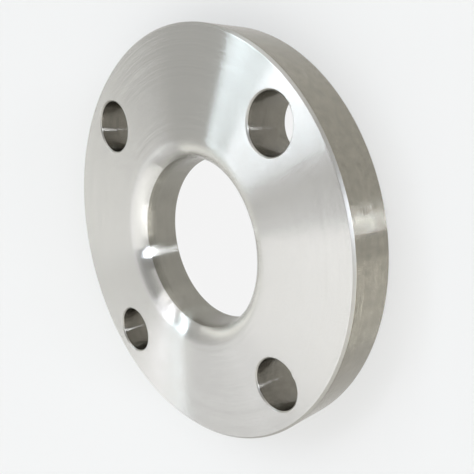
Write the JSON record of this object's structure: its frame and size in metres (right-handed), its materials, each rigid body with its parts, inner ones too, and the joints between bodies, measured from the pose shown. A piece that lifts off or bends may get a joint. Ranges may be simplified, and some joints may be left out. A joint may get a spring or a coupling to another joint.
{
  "type": "slip on pipe flange",
  "caption": "Flat round steel pipe flange with a plain through bore, a large rounded bore corner on one face and evenly spaced bolt holes.",
  "frame": {"origin": "centre of the bore on the flat back face, which the flange rests on", "axes": "+Z along the bore's axis, towards the face with the rounded bore corner; the bolt holes straddle +X and +Y"},
  "size_m": [0.15, 0.15, 0.018],
  "materials": {
    "turned_steel": "bright turned stainless steel, fine concentric tool marks"
  },
  "bodies": {
    "root": {"flange": "turned_steel"}
  },
  "joints": []
}
